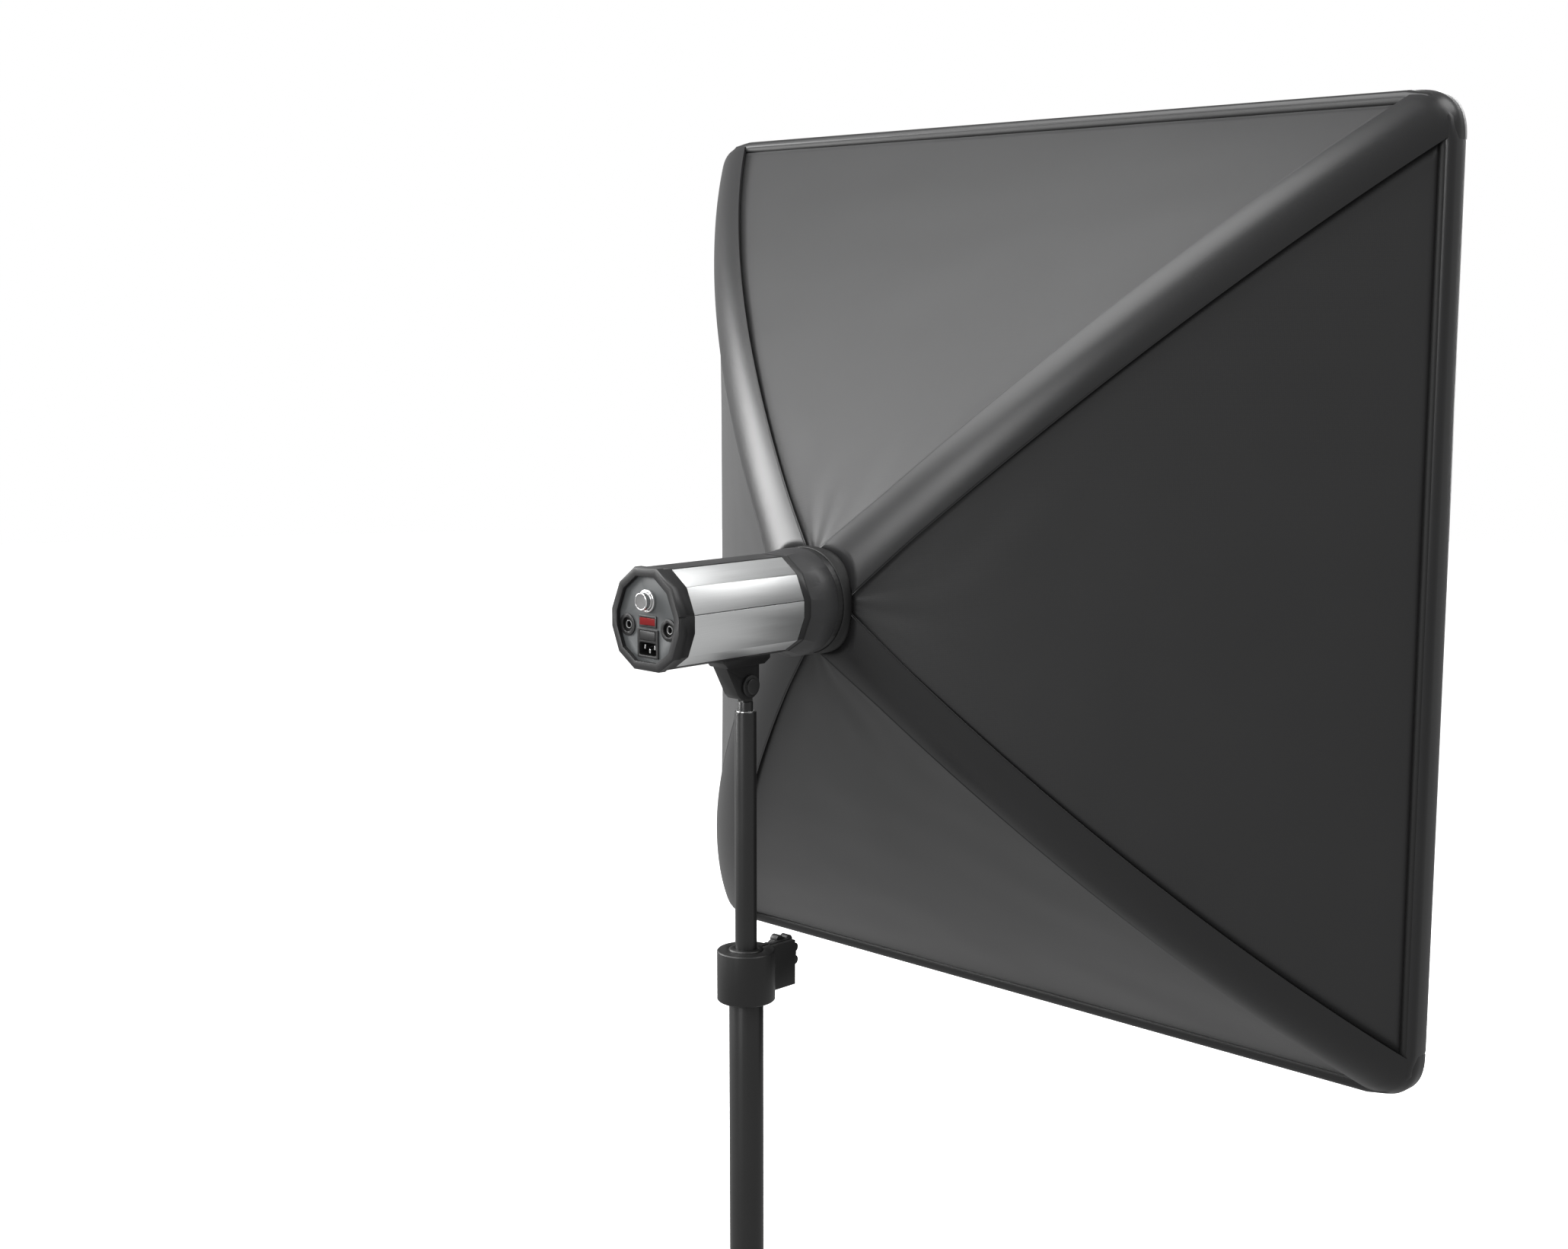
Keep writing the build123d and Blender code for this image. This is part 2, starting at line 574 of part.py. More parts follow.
with BuildPart() as power_knob:
    with BuildSketch(across(PANEL_FACE + 3.2)):
        with Locations((0, KNOB_Z)):
            Circle(11)
    extrude(amount=2.8)
    with BuildSketch(across(PANEL_FACE + 10)):
        with Locations((0, KNOB_Z)):
            Circle(8.6)
    extrude(amount=7)
    fillet(power_knob.edges().sort_by(Axis.Y)[-1], 1)
    with BuildSketch(across(PANEL_FACE + 1)):
        with Locations((0, KNOB_Z)):
            Circle(3)
    extrude(amount=11)
save(power_knob, "power_knob")

# ---- inside the head ----------------------------------------------------------------
BOARD_FACE = PANEL_FACE - 6
with BuildPart() as control_board:
    with BuildSketch(across(BOARD_FACE)):
        with Locations((0, 20)):
            Rectangle(54, 24)
        with Locations((0, KNOB_Z)):
            Circle(3.3, mode=Mode.SUBTRACT)
    extrude(amount=1.6)
    with BuildSketch(across(BOARD_FACE - 1.6)):
        with Locations((0, KNOB_Z)):
            Circle(8)
            Circle(3.3, mode=Mode.SUBTRACT)
        with Locations((19, 20), (-19, 20)):
            Rectangle(8, 12)
    extrude(amount=6)
save(control_board, "control_board")

CHASSIS_Z, CHASSIS_FRONT, CHASSIS_REAR = -37.0, -12.0, 100.0
with BuildPart() as chassis_plate:
    with BuildSketch(Plane.XY.offset(HEAD_Z + CHASSIS_Z)):
        with Locations((0, (CHASSIS_FRONT + CHASSIS_REAR) / 2)):
            Rectangle(50, CHASSIS_REAR - CHASSIS_FRONT)
    extrude(amount=2)
save(chassis_plate, "chassis_plate")

CAPACITOR_R = 12.0
with BuildPart() as capacitors:
    with BuildSketch(across(78)):
        with Locations((13, CHASSIS_Z + 2.2 + CAPACITOR_R), (-13, CHASSIS_Z + 2.2 + CAPACITOR_R)):
            Circle(CAPACITOR_R)
    extrude(amount=76)
    fillet(capacitors.edges().filter_by(GeomType.CIRCLE), 1.5)
save(capacitors, "capacitors")

FAN_REAR, FAN_DEPTH, FAN_HALF, FAN_R = -14.0, 15.0, 30.0, 28.0
with BuildPart() as fan_frame:
    with BuildSketch(across(FAN_REAR)):
        RectangleRounded(2 * FAN_HALF, 2 * FAN_HALF, 4)
        Circle(FAN_R, mode=Mode.SUBTRACT)
    extrude(amount=FAN_DEPTH)
    with BuildSketch(across(FAN_REAR - FAN_DEPTH + 2)):
        Circle(9.5)
        Rectangle(2 * FAN_R + 2, 4)
        Rectangle(4, 2 * FAN_R + 2)
    extrude(amount=2)
    with BuildSketch(across(FAN_REAR - 2)):
        Circle(2)
    extrude(amount=FAN_DEPTH - 4)
save(fan_frame, "fan_frame")

with BuildPart() as fan_impeller:
    with BuildSketch(across(FAN_REAR - 1)):
        Circle(9)
    extrude(amount=FAN_DEPTH - 4)
    with BuildSketch(across(FAN_REAR - 2)):
        with PolarLocations(17.5, 7):
            Rectangle(18, 2, rotation=14)
    extrude(amount=FAN_DEPTH - 7)
    with BuildSketch(across(FAN_REAR)):
        Circle(2 + FIT)
    extrude(amount=FAN_DEPTH, mode=Mode.SUBTRACT)
save(fan_impeller, "fan_impeller")

LAMP_BASE_FACE = BAND_FRONT - 4
with BuildPart() as lamp_base:
    with BuildSketch(across(BODY_FRONT - 1)):
        Circle(37.6)
    extrude(amount=BODY_FRONT - 1 - LAMP_BASE_FACE)
    with BuildSketch(across(LAMP_BASE_FACE)):
        Circle(12)
    extrude(amount=6)
    with BuildSketch(across(BODY_FRONT)):
        Circle(9.2)
        with Locations((22, 0), (-22, 0)):
            Circle(4.4)
    extrude(amount=30, mode=Mode.SUBTRACT)
save(lamp_base, "lamp_base")

TUBE_RING, TUBE_R = 22.0, 3.6
with BuildPart() as flash_tube:
    ring_plane = across(LAMP_BASE_FACE - 16)
    with BuildSketch(Plane(origin=(TUBE_RING, ring_plane.origin.Y, HEAD_Z), z_dir=(0, 0, 1))):
        Circle(TUBE_R)
    revolve(axis=Axis((0, ring_plane.origin.Y, HEAD_Z), (0, 1, 0)))
    with BuildSketch(across(LAMP_BASE_FACE + 6)):
        with Locations((TUBE_RING, 0), (-TUBE_RING, 0)):
            Circle(TUBE_R - 0.6)
    extrude(amount=20)
save(flash_tube, "flash_tube")

with BuildPart() as modelling_lamp:
    with BuildSketch(across(BODY_FRONT - 2)):
        Circle(9)
    extrude(amount=24)
    with BuildSketch(across(BODY_FRONT - 26)):
        Circle(11.5)
    extrude(amount=30)
    fillet(modelling_lamp.edges().sort_by(Axis.Y)[0], 10)
save(modelling_lamp, "modelling_lamp")

# ---- softbox ------------------------------------------------------------------------
# unit normal of the profile's chord, which points out of the box
CHORD = sqrt((RIM[0] - HUB[0]) ** 2 + (RIM[1] - HUB[1]) ** 2)
NORMAL = (-(RIM[1] - HUB[1]) / CHORD, (RIM[0] - HUB[0]) / CHORD)


def shifted(point, distance):
    """A profile point moved out of the box along the chord's normal."""
    return (point[0] + NORMAL[0] * distance, point[1] + NORMAL[1] * distance)


def profile_plane(turn):
    """Plane through the head's axis: its x runs to the front, its y out towards one side."""
    angle = radians(turn)
    outward = Vector(sin(angle), 0, cos(angle))
    return Plane(origin=(0, 0, HEAD_Z), x_dir=(0, -1, 0), z_dir=Vector(0, -1, 0).cross(outward))


def bowed_prism(turn, grow):
    """Everything between the axis and the bowed profile, as wide as the box."""
    with BuildPart(mode=Mode.PRIVATE) as prism:
        with BuildSketch(profile_plane(turn)):
            with BuildLine():
                outer = [shifted(point, grow) for point in (HUB, WAIST, RIM)]
                ThreePointArc(*outer)
                Polyline(outer[2], (outer[2][0], -1), (outer[0][0], -1), outer[0])
            make_face()
        extrude(amount=RIM_HALF + 20, both=True)
    return prism.part


CLOTH_LENGTH = HEM_REAR - GAP - CLOTH_REAR


def wedge(turn, lift):
    """The side's triangular share of the box, up to the strips at its two corners."""
    with BuildPart(mode=Mode.PRIVATE) as share:
        with BuildSketch(across(-CLOTH_REAR, turn)):
            Polygon((0, lift), (600, lift + 600), (-600, lift + 600), align=None)
        extrude(amount=CLOTH_LENGTH)
    return share.part


for name, turn in (("top", 0), ("left", 90), ("bottom", 180), ("right", 270)):
    with BuildPart() as fabric:
        add(bowed_prism(turn, 0))
        add(bowed_prism(turn, -CLOTH), mode=Mode.SUBTRACT)
        add(wedge(turn, STRIP + GAP), mode=Mode.INTERSECT)
    save(fabric, f"fabric_{name}")

with BuildPart() as corner_strip:
    add(bowed_prism(0, RAISE))
    add(bowed_prism(90, RAISE), mode=Mode.INTERSECT)
    ridge = corner_strip.edges().sort_by_distance((700, -250, HEAD_Z + 700))[0]
    fillet(ridge, RIDGE_R)
    with BuildSketch(across(-CLOTH_REAR)):
        Polygon((0, 0), (STRIP, 0), (600, 600 - STRIP), (600, 600), (600 - STRIP, 600), (0, STRIP),
                align=None)
    extrude(amount=CLOTH_LENGTH, mode=Mode.INTERSECT)
    with BuildPart(mode=Mode.PRIVATE) as hollow:
        add(bowed_prism(0, -CLOTH))
        add(bowed_prism(90, -CLOTH), mode=Mode.INTERSECT)
    add(hollow.part, mode=Mode.SUBTRACT)

with BuildPart() as rib_sleeves:
    for quarter in range(4):
        add(corner_strip.part.rotate(Axis((0, 0, HEAD_Z), (0, 1, 0)), 90 * quarter))
save(rib_sleeves, "rib_sleeves")

ROD_START, ROD_END = (100.5, 35.0), (438.0, 470.0)
with BuildPart() as rod:
    corner_plane = Plane(origin=(0, 0, HEAD_Z), x_dir=(0, -1, 0), z_dir=(-sqrt(0.5), 0, sqrt(0.5)))
    with BuildLine(corner_plane) as bow:
        rod_points = (ROD_START, shifted(WAIST, -10), ROD_END)
        ThreePointArc(*[(along, away * sqrt(2)) for along, away in rod_points])
    with BuildSketch(Plane(origin=bow.line @ 0, z_dir=bow.line % 0)):
        Circle(ROD_R)
    sweep()

with BuildPart() as rods:
    for quarter in range(4):
        add(rod.part.rotate(Axis((0, 0, HEAD_Z), (0, 1, 0)), 90 * quarter))
save(rods, "rods")

RING_REAR, RING_FRONT = COLLAR_FRONT - 0.5, -98.0
with BuildPart() as speedring:
    with BuildSketch(across(RING_REAR)):
        Circle(RING_R)
    extrude(amount=RING_REAR - RING_FRONT)
    with BuildSketch(across(BAND_FRONT - 15)):
        Circle(SPIGOT_R)
    extrude(amount=20)
    start, lead = bow.line @ 0, bow.line % 0
    with BuildSketch(Plane(origin=start - lead * 4, z_dir=lead), mode=Mode.PRIVATE) as seat:
        Circle(ROD_R + 3)
    tube = extrude(seat.sketch, amount=26, mode=Mode.PRIVATE)
    for quarter in range(4):
        add(tube.rotate(Axis((0, 0, HEAD_Z), (0, 1, 0)), 90 * quarter))
    with BuildSketch(across(BAND_FRONT)):
        Circle(SPIGOT_R - 7)
    extrude(amount=-RING_FRONT + BAND_FRONT, mode=Mode.SUBTRACT)
    with BuildSketch(Plane(origin=start - lead * 0.2, z_dir=lead), mode=Mode.PRIVATE) as bore:
        Circle(ROD_R + GAP)
    hole = extrude(bore.sketch, amount=40, mode=Mode.PRIVATE)
    for quarter in range(4):
        add(hole.rotate(Axis((0, 0, HEAD_Z), (0, 1, 0)), 90 * quarter), mode=Mode.SUBTRACT)
save(speedring, "speedring")

with BuildPart() as rim_hem:
    with BuildSketch(across(-HEM_REAR)):
        RectangleRounded(2 * RIM_HALF, 2 * RIM_HALF, RIM_CORNER)
    extrude(amount=HEM_FRONT - HEM_REAR)
    fillet(rim_hem.edges().filter_by(Axis.Y, reverse=True), 10)
    with BuildSketch(across(-HEM_REAR)):
        RectangleRounded(2 * (RIM_HALF - RIM_WIDTH), 2 * (RIM_HALF - RIM_WIDTH), RIM_CORNER / 2)
    extrude(amount=HEM_FRONT - HEM_REAR, mode=Mode.SUBTRACT)
save(rim_hem, "rim_hem")

with BuildPart() as front_diffuser:
    with BuildSketch(across(-HEM_FRONT + 10)):
        RectangleRounded(2 * (RIM_HALF - RIM_WIDTH) - 1, 2 * (RIM_HALF - RIM_WIDTH) - 1, RIM_CORNER / 2)
    extrude(amount=2)
save(front_diffuser, "front_diffuser")
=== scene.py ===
# %% [markdown]
# A studio softbox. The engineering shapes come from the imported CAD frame, and this script
# gives them their looks: sewn nylon, brushed aluminium, moulded plastic, powder coat and
# rubber. Each step below first says what the real piece is and then makes it.

# %% Load the frame
import math

import bmesh
import bpy
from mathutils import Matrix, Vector, noise


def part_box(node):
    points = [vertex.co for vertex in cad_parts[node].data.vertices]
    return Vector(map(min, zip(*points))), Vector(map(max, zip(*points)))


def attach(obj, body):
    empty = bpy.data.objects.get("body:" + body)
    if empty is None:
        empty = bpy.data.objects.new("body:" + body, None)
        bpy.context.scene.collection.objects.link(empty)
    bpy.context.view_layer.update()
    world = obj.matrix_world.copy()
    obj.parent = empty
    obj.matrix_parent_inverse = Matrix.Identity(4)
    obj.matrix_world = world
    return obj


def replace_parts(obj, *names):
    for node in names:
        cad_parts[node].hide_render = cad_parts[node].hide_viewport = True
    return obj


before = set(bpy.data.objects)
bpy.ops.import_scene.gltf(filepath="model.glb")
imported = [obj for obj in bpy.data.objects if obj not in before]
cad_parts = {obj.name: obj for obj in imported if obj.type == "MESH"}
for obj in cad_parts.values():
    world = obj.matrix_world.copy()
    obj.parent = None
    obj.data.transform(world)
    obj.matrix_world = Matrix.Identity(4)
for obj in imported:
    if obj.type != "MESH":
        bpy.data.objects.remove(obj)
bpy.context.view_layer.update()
MM = 0.001

# %% [markdown]
# The head's axis is the one line that everything round the softbox is built from. Its height
# is the middle of the rim. The fabric's own box says where the cloth starts and ends, and at
# the hub it runs on a little under the cuff.

# %% The head's axis and the fabric's ends
rim_low, rim_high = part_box("rim_hem")
cloth_low, cloth_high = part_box("fabric_top")
HEAD_Z = (rim_low.z + rim_high.z) / 2
RIM_HALF = (rim_high.x - rim_low.x) / 2
UNDER_CUFF = 4 * MM
CLOTH_REAR, CLOTH_FRONT = cloth_high.y + UNDER_CUFF, cloth_low.y
print("head axis at", round(HEAD_Z, 4), "rim half", round(RIM_HALF, 4))

# %% [markdown]
# The camera stands behind the softbox and to one side, a little above the head, and looks
# slightly down, so that the control panel, the bracket and the back of the cloth all show.

# %% Camera
YAW, PITCH = math.radians(135.38), math.radians(-8.30)
LENS_MM, SENSOR_MM, SEES_TO = 48.93, 36.0, 50
camera_data = bpy.data.cameras.new("camera")
camera_data.lens, camera_data.sensor_width, camera_data.clip_end = LENS_MM, SENSOR_MM, SEES_TO
camera = bpy.data.objects.new("camera", camera_data)
camera.location = (-1.4929, 1.4582, HEAD_Z + 0.2885)
look = Vector((math.sin(YAW) * math.cos(PITCH), math.cos(YAW) * math.cos(PITCH), math.sin(PITCH)))
camera.rotation_mode = "QUATERNION"
camera.rotation_quaternion = look.to_track_quat("-Z", "Y")
scene = bpy.context.scene
scene.collection.objects.link(camera)
scene.camera = camera
print("camera at", [round(v, 3) for v in camera.location])

# %% [markdown]
# The room is white to the camera only. What lights the object is a grey room, brighter below
# than above, because a white room all round would wash out black cloth. The Light Path node
# tells a camera ray from the others, and the Z of the ray's direction makes the gradient.

# %% The white room
BRIGHT_BELOW, BRIGHT_ABOVE = 0.70, 0.46
scene.view_settings.view_transform = "Standard"
world = bpy.data.worlds.new("white_room")
world.use_nodes = True
tree = world.node_tree
background = tree.nodes["Background"]
background.inputs["Color"].default_value = (1, 1, 1, 1)
room = tree.nodes.new("ShaderNodeBackground")
direction = tree.nodes.new("ShaderNodeTexCoord")
gradient = tree.nodes.new("ShaderNodeSeparateXYZ")
levels = tree.nodes.new("ShaderNodeMapRange")
levels.inputs["From Min"].default_value, levels.inputs["From Max"].default_value = -1, 1
levels.inputs["To Min"].default_value = BRIGHT_BELOW
levels.inputs["To Max"].default_value = BRIGHT_ABOVE
tree.links.new(direction.outputs["Generated"], gradient.inputs[0])
tree.links.new(gradient.outputs["Z"], levels.inputs["Value"])
tree.links.new(levels.outputs[0], room.inputs["Strength"])
who_looks = tree.nodes.new("ShaderNodeLightPath")
either = tree.nodes.new("ShaderNodeMixShader")
tree.links.new(who_looks.outputs["Is Camera Ray"], either.inputs[0])
tree.links.new(room.outputs[0], either.inputs[1])
tree.links.new(background.outputs[0], either.inputs[2])
tree.links.new(either.outputs[0], tree.nodes["World Output"].inputs["Surface"])
scene.world = world
print("room brightness", BRIGHT_BELOW, "below,", BRIGHT_ABOVE, "above")

# %% [markdown]
# Five large area lights stand in for studio softboxes: the main one overhead, one at the far
# side and one behind for the right of the cloth and the hub, one high up that draws the bright
# line along the aluminium, and one in front for the diffuser. A large light has soft shadows.

# %% Lights
def soft_light(name, place, size, power):
    """A square area light of a size in metres and a power in watts, turned to the softbox."""
    data = bpy.data.lights.new(name, "AREA")
    data.size, data.energy = size, power
    lamp = bpy.data.objects.new(name, data)
    lamp.location = place
    lamp.rotation_mode = "QUATERNION"
    lamp.rotation_quaternion = (AIM - lamp.location).to_track_quat("-Z", "Y")
    scene.collection.objects.link(lamp)


AIM = Vector((0, -0.2, HEAD_Z))
LIGHTS = {
    "overhead": ((0.9, 0.9, 3.8), 2.2, 85),
    "far_side": ((3.0, 1.2, 2.3), 1.8, 130),
    "behind": ((0.0, 3.6, 2.7), 1.6, 60),
    "high_left": ((-1.8, -1.2, 3.9), 1.6, 40),
    "in_front": ((0.3, -3.8, 2.2), 2.0, 70),
}
for name, light in LIGHTS.items():
    soft_light(name, *light)
print("lights", *LIGHTS)

# %% [markdown]
# Shader maths reads best as plain Python. A Wire wraps one socket, and adding, multiplying or
# comparing it adds a Math node. A Finish is one material with its Principled shader, a
# method that makes any other node, and a few shortcuts that this object's finishes share.

# %% Shader helpers
class Wire:
    """One output socket, with arithmetic."""

    def __init__(self, finish, socket):
        self.finish, self.socket = finish, socket

    def maths(self, operation, other):
        return self.finish.node("ShaderNodeMath", {"operation": operation}, {0: self, 1: other})

    def __add__(self, other):
        return self.maths("ADD", other)

    __radd__ = __add__

    def __mul__(self, other):
        return self.maths("MULTIPLY", other)

    __rmul__ = __mul__


class Finish:
    """A material built from nodes on object coordinates."""

    def __init__(self, name, **constants):
        self.material = bpy.data.materials.new(name)
        self.material.use_nodes = True
        self.tree = self.material.node_tree
        self.shader = self.tree.nodes["Principled BSDF"]
        for socket, value in constants.items():
            self.shader.inputs[socket.replace("_", " ")].default_value = value

    def node(self, kind, settings=None, values=None, output=0):
        """Adds a node with its settings and its sockets' values or wires, and gives one output."""
        made = self.tree.nodes.new(kind)
        for key, value in (settings or {}).items():
            setattr(made, key, value)
        for key, value in (values or {}).items():
            if isinstance(value, Wire):
                self.tree.links.new(value.socket, made.inputs[key])
            else:
                made.inputs[key].default_value = value
        return Wire(self, made.outputs[output])

    def place(self, stretch=(1, 1, 1), coordinates="Object"):
        where = self.node("ShaderNodeTexCoord", output=coordinates)
        return self.node("ShaderNodeMapping", values={"Vector": where, "Scale": stretch})

    def noise(self, where, scale, detail=3.0):
        return self.node("ShaderNodeTexNoise",
                         values={"Vector": where, "Scale": scale, "Detail": detail})

    def threads(self, where, pitch, direction):
        """Sine waves with one crest for each pitch, in metres, across a direction."""
        return self.node(
            "ShaderNodeTexWave",
            {"wave_type": "BANDS", "bands_direction": direction, "wave_profile": "SIN"},
            {"Vector": where, "Scale": math.pi / 10 / pitch},
        )

    def feed(self, socket, wire):
        self.tree.links.new(wire.socket, self.shader.inputs[socket])

    def mixed(self, mask, low, high):
        low, high = (c if isinstance(c, Wire) else (*c, 1) for c in (low, high))
        return self.node("ShaderNodeMix", {"data_type": "RGBA"}, {0: mask, 6: low, 7: high}, output=2)

    def colours(self, mask, low, high):
        self.feed("Base Color", self.mixed(mask, low, high))

    def two_zones(self, mask, zone, near, far):
        self.feed("Base Color", self.mixed(zone, self.mixed(mask, *near), self.mixed(mask, *far)))

    def relief(self, height, depth):
        self.feed("Normal", self.node("ShaderNodeBump", values={"Height": height, "Distance": depth}))


# %% [markdown]
# Moulded plastic has a fine spark-eroded grain and slightly uneven gloss. Powder coat is
# smoother, with a soft orange peel. Both are a noise at the right scale, fed to the relief and
# to the roughness.

# %% Plastic, powder coat and rubber
BAND_END = -44.5 * MM


def moulded(name, low, high, gloss, grain=900, depth=0.00006, far=None):
    """Plastic or paint with fine grain. The colours far hold beyond the end of the head's band."""
    finish = Finish(name, Roughness=gloss)
    where = finish.place()
    patches = finish.noise(where, 14, detail=4)
    specks = finish.noise(where, grain, detail=2)
    mask = patches * 0.6 + specks * 0.4
    if far:
        along = finish.node("ShaderNodeSeparateXYZ", values={"Vector": where}, output="Y")
        finish.two_zones(mask, along.maths("LESS_THAN", BAND_END), (low, high), far)
    else:
        finish.colours(mask, low, high)
    finish.feed("Roughness", patches * 0.12 + (gloss - 0.06))
    finish.relief(specks, depth)
    return finish.material


black_plastic = moulded("black_plastic", (0.007,) * 3, (0.011,) * 3, 0.42)
charcoal_plastic = moulded("charcoal_plastic", (0.013, 0.013, 0.0135), (0.020, 0.020, 0.0205), 0.40)
collar_plastic = moulded("collar_plastic", (0.010, 0.010, 0.0105), (0.014, 0.014, 0.0145), 0.44,
                         far=((0.026, 0.026, 0.027), (0.036, 0.036, 0.037)))
panel_grey = moulded("panel_grey", (0.078, 0.083, 0.085), (0.092, 0.097, 0.099), 0.50)
powder_coat = moulded("powder_coat", (0.012,) * 3, (0.019,) * 3, 0.32, grain=420, depth=0.00004)
foot_rubber = moulded("foot_rubber", (0.010,) * 3, (0.016,) * 3, 0.68, grain=600, depth=0.0001)
white_ceramic = moulded("white_ceramic", (0.62, 0.60, 0.56), (0.70, 0.68, 0.64), 0.35)
board_green = moulded("board_green", (0.012, 0.085, 0.035), (0.018, 0.12, 0.05), 0.35)
capacitor_sleeve = moulded("capacitor_sleeve", (0.012, 0.03, 0.12), (0.016, 0.04, 0.16), 0.28)
print("materials so far", len(bpy.data.materials))

# %% [markdown]
# Brushed aluminium has fine lines that all run one way, along the head. The lines are a noise
# stretched a hundredfold, and they change the roughness and tilt the surface a little.

# %% Metals
def brushed(name, low, high, gloss, stretch, depth=0.00002):
    finish = Finish(name, Metallic=1.0, Roughness=gloss)
    lines = finish.noise(finish.place(stretch), 1.0, detail=3)
    patches = finish.noise(finish.place(), 9, detail=3)
    finish.colours(lines * 0.7 + patches * 0.3, low, high)
    finish.feed("Roughness", lines * 0.16 + patches * 0.08 + (gloss - 0.12))
    finish.relief(lines, depth)
    return finish.material


ALONG_HEAD, ALONG_STAND = (1400, 12, 1400), (900, 900, 14)
brushed_aluminium = brushed("brushed_aluminium", (0.76, 0.77, 0.77), (0.90, 0.91, 0.91), 0.44, ALONG_HEAD)
bright_metal = brushed("bright_metal", (0.78,) * 3, (0.88,) * 3, 0.16, (600, 600, 600), 0.000005)
plain_steel = brushed("plain_steel", (0.40,) * 3, (0.52,) * 3, 0.30, ALONG_STAND)
print("materials so far", len(bpy.data.materials))

# %% [markdown]
# The rocker is a clear red moulding with a lamp behind it, and the two lamps are glass.

# %% Rocker and glass
rocker_red = moulded("rocker_red", (0.17, 0.003, 0.004), (0.24, 0.005, 0.006), 0.18)
glass = Finish("lamp_glass", Roughness=0.05, Transmission_Weight=0.9, IOR=1.45)
glass.colours(glass.noise(glass.place(), 20), (0.86, 0.90, 0.92), (0.92, 0.94, 0.95))
lamp_glass = glass.material
print("made", rocker_red.name, "and", lamp_glass.name)

# %% [markdown]
# Softbox cloth is coated ripstop nylon: a tight plain weave with a low sheen. Warp and weft are
# two sine waves at right angles on the cloth's own UV map, which is in metres, so the threads
# follow each panel. The lining is the same weave in silver, and the diffuser is white.

# %% Cloth
def woven(name, low, high, gloss, pitch, depth, metallic=0.0, sheen=0.0):
    finish = Finish(name, Roughness=gloss, Metallic=metallic, Sheen_Weight=sheen, Sheen_Roughness=0.4,
                    Specular_IOR_Level=0.4)
    where = finish.place(coordinates="UV")
    warp = finish.threads(where, pitch, "X")
    weft = finish.threads(where, pitch, "Y")
    folds = finish.noise(finish.place(), 5, detail=5)
    finish.colours(folds * 0.8 + warp * weft * 0.2, low, high)
    finish.feed("Roughness", folds * 0.14 + (gloss - 0.07))
    finish.relief(warp * weft, depth)
    return finish.material


black_nylon = woven("black_nylon", (0.020, 0.020, 0.0205), (0.027, 0.027, 0.0275), 0.46, 0.0012, 0.00004,
                    sheen=0.1)
strip_nylon = woven("strip_nylon", (0.014, 0.014, 0.0145), (0.020, 0.020, 0.0205), 0.33, 0.0012, 0.00003)
silver_lining = woven("silver_lining", (0.55,) * 3, (0.70,) * 3, 0.35, 0.0012, 0.00005, metallic=0.9)
white_cloth = woven("white_cloth", (0.78, 0.78, 0.77), (0.84, 0.84, 0.83), 0.80, 0.0010, 0.00004)
# Near-black cord colour. It is real on the seam piping. On the binding and the hub cuff it is partly
# painted shade of the groove behind the hem and of the hub.
piping_black_and_shade = moulded("piping_black_and_shade", (0.004,) * 3, (0.007,) * 3, 0.55, grain=1500, depth=0.0001)
print("materials so far", len(bpy.data.materials))

# %% [markdown]
# Most hard pieces keep their CAD shape. A moulded or machined edge is never razor sharp, so
# each gets a small rounded edge: the triangles are welded, flat areas dissolved into clean
# faces, and the sharp edges bevelled, all with modifiers, so that the CAD mesh is untouched.

# %% Finishes and rounded edges for the CAD pieces
WELD_GAP, FLAT_TO, SHARP_FROM = 0.02 * MM, math.radians(1), math.radians(32)


def finish_node(name, material, edge):
    """Gives a CAD node its finish and, unless edge is 0, rounded edges of that width."""
    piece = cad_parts[name]
    piece.data.materials.clear()
    piece.data.materials.append(material)
    for polygon in piece.data.polygons:
        polygon.material_index = 0
    if not edge:
        return
    piece.data.shade_smooth()
    weld = piece.modifiers.new("weld", "WELD")
    weld.merge_threshold = WELD_GAP
    flat = piece.modifiers.new("flat", "DECIMATE")
    flat.decimate_type, flat.angle_limit = "DISSOLVE", FLAT_TO
    rounded = piece.modifiers.new("rounded", "BEVEL")
    rounded.width, rounded.segments = edge, 2
    rounded.limit_method, rounded.angle_limit = "ANGLE", SHARP_FROM
    rounded.harden_normals = True


